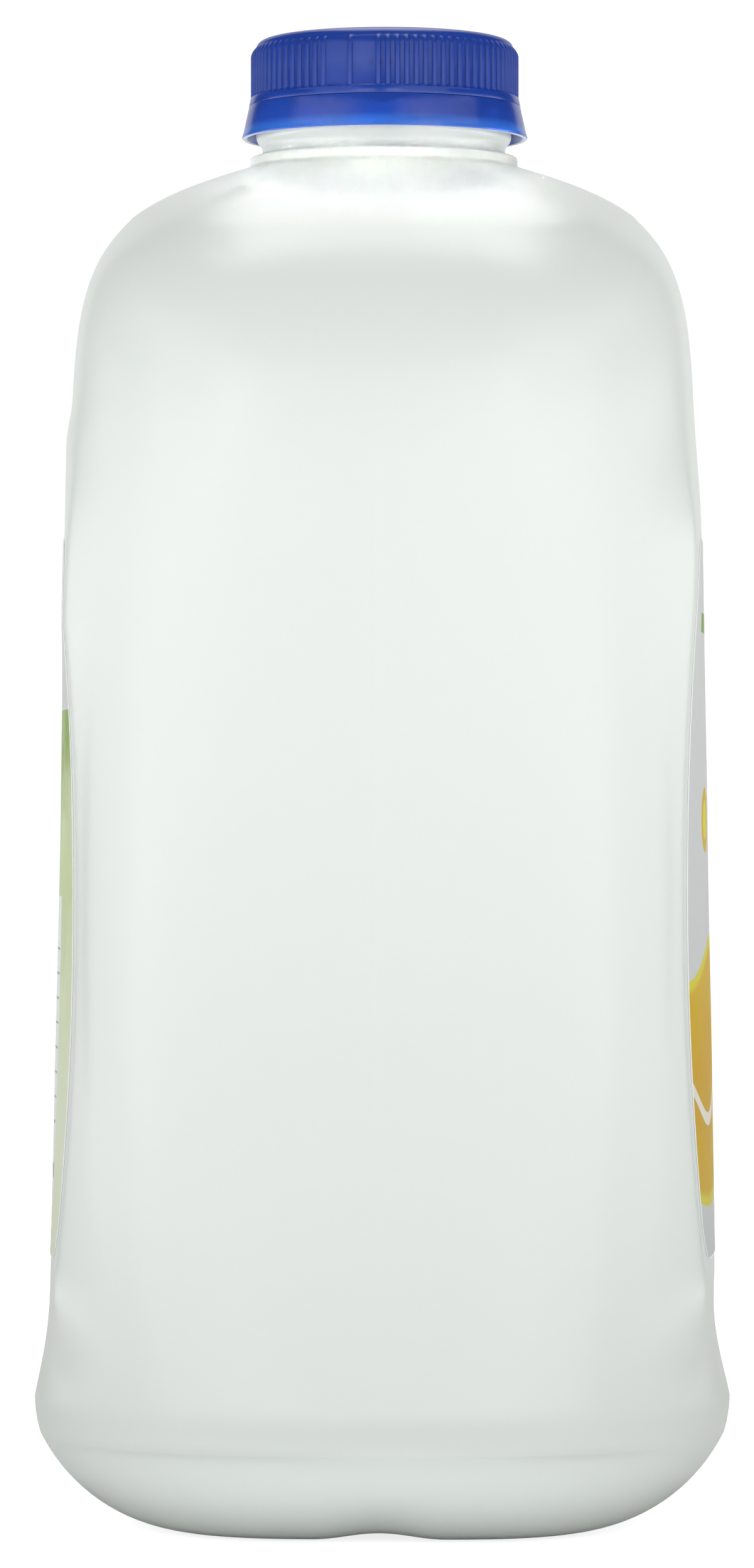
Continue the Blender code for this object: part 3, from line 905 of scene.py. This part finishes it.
for film, finish, slot_name, node in (
    (front_film, front_finish, "front_film", "front_label"),
    (back_film, back_finish, "back_film", "back_label"),
):
    film.data.materials.clear()
    film.data.materials.append(finish)
    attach(film, "root")
    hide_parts(node)
    print(film.name, "wears", finish.name)

# %% [markdown]
# ## The cap
#
# The real cap is injection moulded: a smooth lip, a skirt of fine upright ribs for grip, broken by smooth
# pads where the mould's slides meet, and a rounded rim. Each rib has a flat top about half the pitch wide
# and short flanks. The skirt is raised ring by ring with enough columns to give each flank its own face.

# %% Cap: sizes and the outline of its ribs
RIB_COUNT = 88
COLUMNS_PER_RIB = 10
RIB_R = 0.02150
GROOVE_R = 0.02112
RIB_SHARE = 0.46
RIB_FLANK_SHARE = 0.11
LIP_TOP_R = 0.02156
LIP_LOW_R = 0.02178
LIP_LOW_Z = 0.2264
RIB_LOW_Z = 0.2277
RIB_TOP_Z = 0.2356
CAP_TOP_Z = 0.2371
RIM_REACH = 0.0024
RIM_RISE = 0.0013
RIM_R = 0.0206
CAP_OFF_AXIS = 0.00015
CAP_BORE_R = 0.0199
CAP_BORE_TOP_Z = 0.2352
SINGLE_RIB_ANGLE = math.radians(-103.7)
PAD_GROOVES = 2
DISH_R = 0.0174
DISH_DEPTH = 0.0003
GATE_R = 0.0011
CAP_SHARP_ANGLE = math.radians(50)

cap_angles = [
    SINGLE_RIB_ANGLE + 2 * math.pi * (i / COLUMNS_PER_RIB - 0.5) / RIB_COUNT
    for i in range(RIB_COUNT * COLUMNS_PER_RIB)
]


def rib_stands(index):
    """Whether a rib stands at this place, or a smooth pad takes its room."""
    half_turn = RIB_COUNT // 2
    from_single = (index + half_turn // 2) % half_turn - half_turn // 2
    return from_single == 0 or abs(from_single) > PAD_GROOVES


def rib_height(column):
    """0 in a groove, 1 on a rib's flat top."""
    index, step = divmod(column, COLUMNS_PER_RIB)
    if not rib_stands(index):
        return 0.0
    off_middle = abs(step / COLUMNS_PER_RIB - 0.5)
    return ease((RIB_SHARE / 2 + RIB_FLANK_SHARE / 2 - off_middle) / RIB_FLANK_SHARE)


rib_heights = [rib_height(column) for column in range(len(cap_angles))]


def cap_ring(floor_r, rib_r, z):
    """A ring of the skirt, with its grooves and its ribs at their own radii."""
    return [
        (mix(floor_r, rib_r, h) * math.cos(a), mix(floor_r, rib_r, h) * math.sin(a), z)
        for h, a in zip(rib_heights, cap_angles)
    ]


cap_rings = [
    circle_spots(0.0, CAP_BORE_TOP_Z, cap_angles),
    circle_spots(CAP_BORE_R, CAP_BORE_TOP_Z, cap_angles),
    circle_spots(CAP_BORE_R, LIP_LOW_Z, cap_angles),
    circle_spots(LIP_LOW_R - 0.00007, LIP_LOW_Z, cap_angles),
    circle_spots(LIP_LOW_R - 0.00002, LIP_LOW_Z + 0.00002, cap_angles),
    circle_spots(LIP_LOW_R, LIP_LOW_Z + 0.00007, cap_angles),
    circle_spots(LIP_TOP_R, RIB_LOW_Z - 0.00016, cap_angles),
    circle_spots(LIP_TOP_R - 0.00003, RIB_LOW_Z - 0.00005, cap_angles),
    cap_ring(LIP_TOP_R - 0.00012, RIB_R, RIB_LOW_Z),
    cap_ring(GROOVE_R + 0.00006, RIB_R, RIB_LOW_Z + 0.00014),
    cap_ring(GROOVE_R, RIB_R, RIB_LOW_Z + 0.00030),
    cap_ring(GROOVE_R, RIB_R, mix(RIB_LOW_Z, RIB_TOP_Z, 0.5)),
    cap_ring(GROOVE_R, RIB_R, RIB_TOP_Z - 0.0012),
    cap_ring(GROOVE_R - 0.00004, RIB_R - 0.00012, RIB_TOP_Z - 0.0008),
    cap_ring(GROOVE_R - 0.00016, RIB_R - 0.00034, RIB_TOP_Z - 0.0004),
    cap_ring(RIM_R + 0.00014, RIM_R + 0.00024, RIB_TOP_Z),
]
RIM_STEPS = 8
for rim_step in range(RIM_STEPS + 1):
    rim_turn = math.radians(90) * rim_step / RIM_STEPS
    cap_rings.append(circle_spots(
        RIM_R - RIM_REACH * (1 - math.cos(rim_turn)),
        CAP_TOP_Z - RIM_RISE * (1 - math.sin(rim_turn)),
        cap_angles,
    ))
cap_rings += [
    circle_spots(DISH_R + 0.0004, CAP_TOP_Z, cap_angles),
    circle_spots(DISH_R, CAP_TOP_Z - DISH_DEPTH * 0.3, cap_angles),
    circle_spots(DISH_R - 0.0004, CAP_TOP_Z - DISH_DEPTH, cap_angles),
    circle_spots(GATE_R + 0.0002, CAP_TOP_Z - DISH_DEPTH, cap_angles),
    circle_spots(GATE_R, CAP_TOP_Z - DISH_DEPTH * 0.4, cap_angles),
    circle_spots(0.0, CAP_TOP_Z - DISH_DEPTH * 0.4, cap_angles),
]
screw_cap = raise_rings("screw_cap", cap_rings)
for vertex in screw_cap.data.vertices:
    vertex.co.x += CAP_OFF_AXIS
shade_by_angle(screw_cap, CAP_SHARP_ANGLE)

# %% [markdown]
# ## The tamper band
#
# The band hangs under the cap from the torn-off line. It flares out like a skirt and ends in a thick
# rounded edge whose flat underside catches the light. Its section is a closed loop, so the last ring is
# laid on the first and the two are merged, which closes the wall.

# %% Raise the band
SCORE_GAP = 0.00005
BAND_TOP_R = 0.02178
BAND_MID_R = 0.02228
BAND_LOW_R = 0.02292
BAND_TOP_Z = LIP_LOW_Z - SCORE_GAP
BAND_MID_Z = 0.2240
BAND_LOW_Z = 0.2211
BAND_INNER_TOP_R = 0.0209
BAND_INNER_LOW_R = 0.0220
BAND_COLUMNS = 256
BAND_EDGE_STEPS = 4
BAND_EDGE_R = 0.0003
BAND_EDGE_FIRST_TURN = 10
BAND_EDGE_SWEEP = 100

band_profile = [
    (BAND_INNER_TOP_R, BAND_TOP_Z),
    (BAND_TOP_R - 0.00007, BAND_TOP_Z),
    (BAND_TOP_R - 0.00002, BAND_TOP_Z - 0.00002),
    (BAND_TOP_R, BAND_TOP_Z - 0.00007),
    (mix(BAND_TOP_R, BAND_MID_R, 0.47), mix(BAND_TOP_Z, BAND_MID_Z, 0.50)),
    (BAND_MID_R, BAND_MID_Z),
    (mix(BAND_MID_R, BAND_LOW_R, 0.31), mix(BAND_MID_Z, BAND_LOW_Z, 0.32)),
    (mix(BAND_MID_R, BAND_LOW_R, 0.63), mix(BAND_MID_Z, BAND_LOW_Z, 0.64)),
]
for edge_step in range(BAND_EDGE_STEPS + 1):
    edge_turn = math.radians(BAND_EDGE_FIRST_TURN - BAND_EDGE_SWEEP * edge_step / BAND_EDGE_STEPS)
    band_profile.append((
        BAND_LOW_R - BAND_EDGE_R * (1 - math.cos(edge_turn)),
        BAND_LOW_Z + BAND_EDGE_R * (1 + math.sin(edge_turn)),
    ))
band_profile += [
    (BAND_INNER_LOW_R + 0.0002, BAND_LOW_Z),
    (BAND_INNER_LOW_R, BAND_LOW_Z + 0.0002),
    (mix(BAND_INNER_LOW_R, BAND_INNER_TOP_R, 0.6), BAND_MID_Z),
    band_profile[0],
]
band_angles = [2 * math.pi * i / BAND_COLUMNS for i in range(BAND_COLUMNS)]
tear_band = raise_rings(
    "tear_band", [circle_spots(r, z, band_angles, CAP_OFF_AXIS) for r, z in band_profile],
)
shade_by_angle(tear_band, CAP_SHARP_ANGLE)

# %% [markdown]
# ## Blue polypropylene
#
# The cap's blue is deep and clean. The ribbed skirt is satin, with a fine grain from the mould, and the
# band is glossier. Where the band is thin and stands over the white neck, light comes through it from
# below; that light is painted into its colour, a lighter and clearer blue towards its edge. The
# underside mirrors the white shoulder at a glancing angle; that reflection is painted, nearly white.

# %% Finish of the cap and the band
BLUE = (0.0110, 0.046, 0.31)
BLUE_DEEP = (0.0090, 0.038, 0.27)
# Painted light: a lighter blue for light coming through the band.
PAINTED_LIGHT_BLUE = (0.024, 0.120, 0.52)
# Painted reflection: the white shoulder as mirrored in the band's underside.
PAINTED_EDGE_REFLECTION = (0.62, 0.63, 0.82)
BLUE_MARK = (0.004, 0.018, 0.16)


def start_blue(name, gloss):
    """Blue plastic with a faint cloud in it, and a fine grain and ripple."""
    made, shader, place = start_finish(name, Roughness=gloss, IOR=1.5, Specular_IOR_Level=0.45)
    cloud = grain(place, 130.0, 3.0).step(0.35, 0.65)
    fine = relief(place, grain(place, 1500.0), 0.00002, 0.3)
    feed(shader, "Normal", relief(place, grain(place, 260.0, 2.0), 0.00006, 0.2, fine))
    return made, shader, place, blend_colours(place, cloud * 0.6, BLUE, BLUE_DEEP)


MARK_Z = 0.23116
MARK_RADIUS = 0.00055
mark_places = (-0.0015, 0.00015, 0.0016)

cap_finish, cap_shader, cap_place, cap_colour = start_blue("cap_blue", 0.32)
cap_x, cap_y, cap_z = split(cap_place)
near_side = cap_y.step(0.0, -0.001)
for mark_x in mark_places:
    from_mark = hypotenuse(cap_x - mark_x, cap_z - MARK_Z)
    mark = from_mark.step(MARK_RADIUS, MARK_RADIUS * 0.3) * near_side
    cap_colour = blend_colours(cap_place, mark * 0.55, cap_colour, BLUE_MARK)
feed(cap_shader, "Base Color", cap_colour)
on_ribs = cap_z.step(RIB_LOW_Z - 0.0002, RIB_LOW_Z + 0.0002)
feed(cap_shader, "Roughness", grain(cap_place, 240.0, 3.0) * 0.08 + 0.16 + on_ribs * 0.12)

band_finish, band_shader, band_place, band_colour = start_blue("band_blue", 0.22)
_, _, band_z = split(band_place)
# Painted light: the band's blue is made lighter towards its lower edge, where light would come through it.
lit = band_z.step(BAND_LOW_Z + 0.0024, BAND_LOW_Z + 0.0006)
band_colour = blend_colours(band_place, lit, band_colour, PAINTED_LIGHT_BLUE)
# Painted reflection: the underside of the band's edge is coloured nearly white, for the mirrored shoulder.
painted_reflection_edge = band_z.step(BAND_LOW_Z + 0.00012, BAND_LOW_Z + 0.00004)
feed(band_shader, "Base Color", blend_colours(band_place, painted_reflection_edge, band_colour, PAINTED_EDGE_REFLECTION))
feed(band_shader, "Roughness", grain(band_place, 240.0, 3.0) * 0.08 + 0.16)

for piece, finish, slot_name, node in (
    (screw_cap, cap_finish, "blue_cap", "cap"),
    (tear_band, band_finish, "blue_band", "tamper_band"),
):
    piece.data.materials.clear()
    piece.data.materials.append(finish)
    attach(piece, "root")
    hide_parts(node)
    print(piece.name, "wears", finish.name)

# %% [markdown]
# ## Floor, light and camera
#
# White plastic shows the room as broad soft shades, so the light is laid out like a product studio's. The
# jug stands on a plain white floor. Upright soft boxes ring the front half of it, with wings that reach
# round to its sides. The wide boxes further up are dimmer, which draws the soft dark band under the
# shoulder, and a strong box overhead lights the shoulder. Where the camera stands there is a narrow gap
# between the boxes, except low down, and glossy plastic shows that gap: the middle of the cap and of its
# band stays deep blue. Higher up, two bright narrow boxes stand at the sides of the gap. A box lying on the
# floor on either side throws light up at the flanks, and a dim one stands behind as a backdrop. Three small
# lamps with narrow beams lift what the boxes leave dull: two the neck and one the foot.

# %% Floor
FLOOR_WHITE = (0.80, 0.80, 0.80)
FLOOR_PALER = (0.82, 0.82, 0.82)
FLOOR_RADIUS = 3.0
FLOOR_GLOW = 0.80
GLOW_NEAR = 0.010  # both are squares of distances from the jug's axis
GLOW_FAR = 0.120

leave_nothing_selected()
bpy.ops.mesh.primitive_circle_add(vertices=96, radius=FLOOR_RADIUS, fill_type="NGON")
floor = bpy.context.object
floor.name = "floor"
floor_finish, floor_shader, floor_place = start_finish(
    "pale_floor", Roughness=0.8, Specular_IOR_Level=0.2, Emission_Color=(1.0, 1.0, 1.0, 1.0),
)
floor_colour = blend_colours(floor_place, grain(floor_place, 3.0), FLOOR_WHITE, FLOOR_PALER)
feed(floor_shader, "Base Color", floor_colour)
seen = Flow(floor_place.tree, floor_place.tree.nodes.new("ShaderNodeLightPath").outputs["Is Camera Ray"])
floor_x, floor_y, _ = split(floor_place)
away = (floor_x * floor_x + floor_y * floor_y).step(GLOW_NEAR, GLOW_FAR)
feed(floor_shader, "Emission Strength", seen * (away * (1.0 - FLOOR_GLOW) + FLOOR_GLOW))
floor.data.materials.append(floor_finish)

# %% Room
ROOM_GLOW = 0.03
ROOM_TO_THE_EYE = 1.05

room = bpy.data.worlds.new("room")
bpy.context.scene.world = room
room.use_nodes = True
room_tree = room.node_tree
seen = Flow(room_tree, room_tree.nodes.new("ShaderNodeLightPath").outputs["Is Camera Ray"])
room_background = room_tree.nodes["Background"]
room_background.inputs["Color"].default_value = (1.0, 1.0, 1.0, 1.0)
room_strength = seen * (ROOM_TO_THE_EYE - ROOM_GLOW) + ROOM_GLOW
room_tree.links.new(room_strength.socket, room_background.inputs["Strength"])


# %% Soft boxes
def soft_box(name, place, aim, width, height, radiance):
    """A rectangular light whose face has a given brightness."""
    lamp = bpy.data.lights.new(name, "AREA")
    lamp.shape = "RECTANGLE"
    lamp.size = width
    lamp.size_y = height
    lamp.energy = radiance * math.pi * width * height
    box = bpy.data.objects.new(name, lamp)
    bpy.context.scene.collection.objects.link(box)
    box.location = place
    box.rotation_euler = (Vector(aim) - Vector(place)).to_track_quat("-Z", "Y").to_euler()
    box.visible_camera = False
    return box


def round_the_jug(azimuth, distance, height):
    """A place by its azimuth from the camera's side, positive to the right."""
    turn = math.radians(azimuth)
    return distance * math.sin(turn), -distance * math.cos(turn), height


def standing_box(name, first, last, low_z, top_z, radiance):
    """An upright box between two azimuths and two heights."""
    width = 2 * BOX_DISTANCE * math.tan(math.radians(last - first) / 2)
    middle_z = (low_z + top_z) / 2
    place = round_the_jug((first + last) / 2, BOX_DISTANCE, middle_z)
    return soft_box(name, place, (0.0, 0.0, middle_z), width, top_z - low_z, radiance)


def narrow_lamp(name, azimuth, tilt, aim_z, width, height, radiance):
    """A small lamp behind a grid, whose narrow beam reaches in where the boxes don't."""
    rise = NARROW_DISTANCE * math.tan(math.radians(tilt))
    place = round_the_jug(azimuth, NARROW_DISTANCE, aim_z + rise)
    lamp = soft_box(name, place, (0.0, 0.0, aim_z), width, height, radiance)
    lamp.data.spread = NARROW_SPREAD
    lamp.visible_glossy = False


BOX_DISTANCE = 0.70
LOW_Z = 0.02
WING_LOW_Z = 0.14
MIDDLE_LOW_TOP_Z = 0.17
LOW_TOP_Z = 0.28
MIDDLE_TOP_Z = 0.42
SIDE_LOW_Z = 0.54
HIGH_TOP_Z = 0.66
standing_box("left_wing", -112, -58, WING_LOW_Z, LOW_TOP_Z, 1.65)
standing_box("left_low", -58, -7, LOW_Z, LOW_TOP_Z, 2.1)
standing_box("right_low", 2, 48, LOW_Z, LOW_TOP_Z, 2.2)
standing_box("middle_low", -7, 2, LOW_Z, MIDDLE_LOW_TOP_Z, 2.0)
standing_box("right_wing", 48, 118, WING_LOW_Z, LOW_TOP_Z, 1.95)
standing_box("left_middle_box", -22, -7, LOW_TOP_Z, MIDDLE_TOP_Z, 2.6)
standing_box("right_middle_box", 2, 14, LOW_TOP_Z, MIDDLE_TOP_Z, 2.6)
standing_box("left_box", -62, -20, LOW_TOP_Z, HIGH_TOP_Z, 0.8)
standing_box("right_box", 10, 56, LOW_TOP_Z, HIGH_TOP_Z, 1.05)
standing_box("left_side_box", -84, -62, SIDE_LOW_Z, HIGH_TOP_Z, 1.3)
standing_box("right_side_box", 56, 88, SIDE_LOW_Z, HIGH_TOP_Z, 1.3)
soft_box("top_box", (0.0, 0.30, 1.15), (0.0, 0.30, 0.0), 0.60, 1.20, 3.6)
soft_box("backdrop", (0.0, 0.90, 0.60), (0.0, 0.0, 0.60), 1.30, 1.20, 0.75)
soft_box("left_floor_box", (-0.75, -0.10, 0.002), (-0.75, -0.10, 1.0), 0.90, 0.90, 2.8)
soft_box("right_floor_box", (0.75, -0.10, 0.002), (0.75, -0.10, 1.0), 0.90, 0.90, 2.6)

NARROW_DISTANCE = 0.60
NARROW_SPREAD = math.radians(1.6)
# What a narrow lamp is turned to: its tilt in degrees, the height it aims at, its width and height
AT_THE_NECK = (24, 0.2067, 0.070, 0.013)
AT_THE_FOOT = (1.5, 0.0068, 0.100, 0.011)
narrow_lamp("left_neck_lamp", -44, *AT_THE_NECK, 0.84)
narrow_lamp("right_neck_lamp", 40, *AT_THE_NECK, 0.70)
narrow_lamp("foot_lamp", 0, *AT_THE_FOOT, 0.34)

# %% Camera
PICTURE_WIDTH, PICTURE_HEIGHT = 1201, 2498
FOCAL_PIXELS = 10015.0
CAMERA_DISTANCE = 1.010
CAMERA_HEIGHT = 0.11765
CAMERA_AZIMUTH = 1.3
AXIS_PIXEL = 611.3
SENSOR_WIDTH = 36.0

camera_data = bpy.data.cameras.new("camera")
camera_data.sensor_width = SENSOR_WIDTH
camera_data.lens = FOCAL_PIXELS * SENSOR_WIDTH / PICTURE_HEIGHT
camera = bpy.data.objects.new("camera", camera_data)
bpy.context.scene.collection.objects.link(camera)
camera.location = round_the_jug(CAMERA_AZIMUTH, CAMERA_DISTANCE, CAMERA_HEIGHT)
off_axis = math.atan((AXIS_PIXEL - PICTURE_WIDTH / 2) / FOCAL_PIXELS)
camera.rotation_euler = (math.radians(90), 0.0, math.radians(CAMERA_AZIMUTH) + off_axis)
bpy.context.scene.camera = camera
bpy.context.scene.view_settings.view_transform = "Standard"
print("lens:", round(camera_data.lens, 2), "mm")
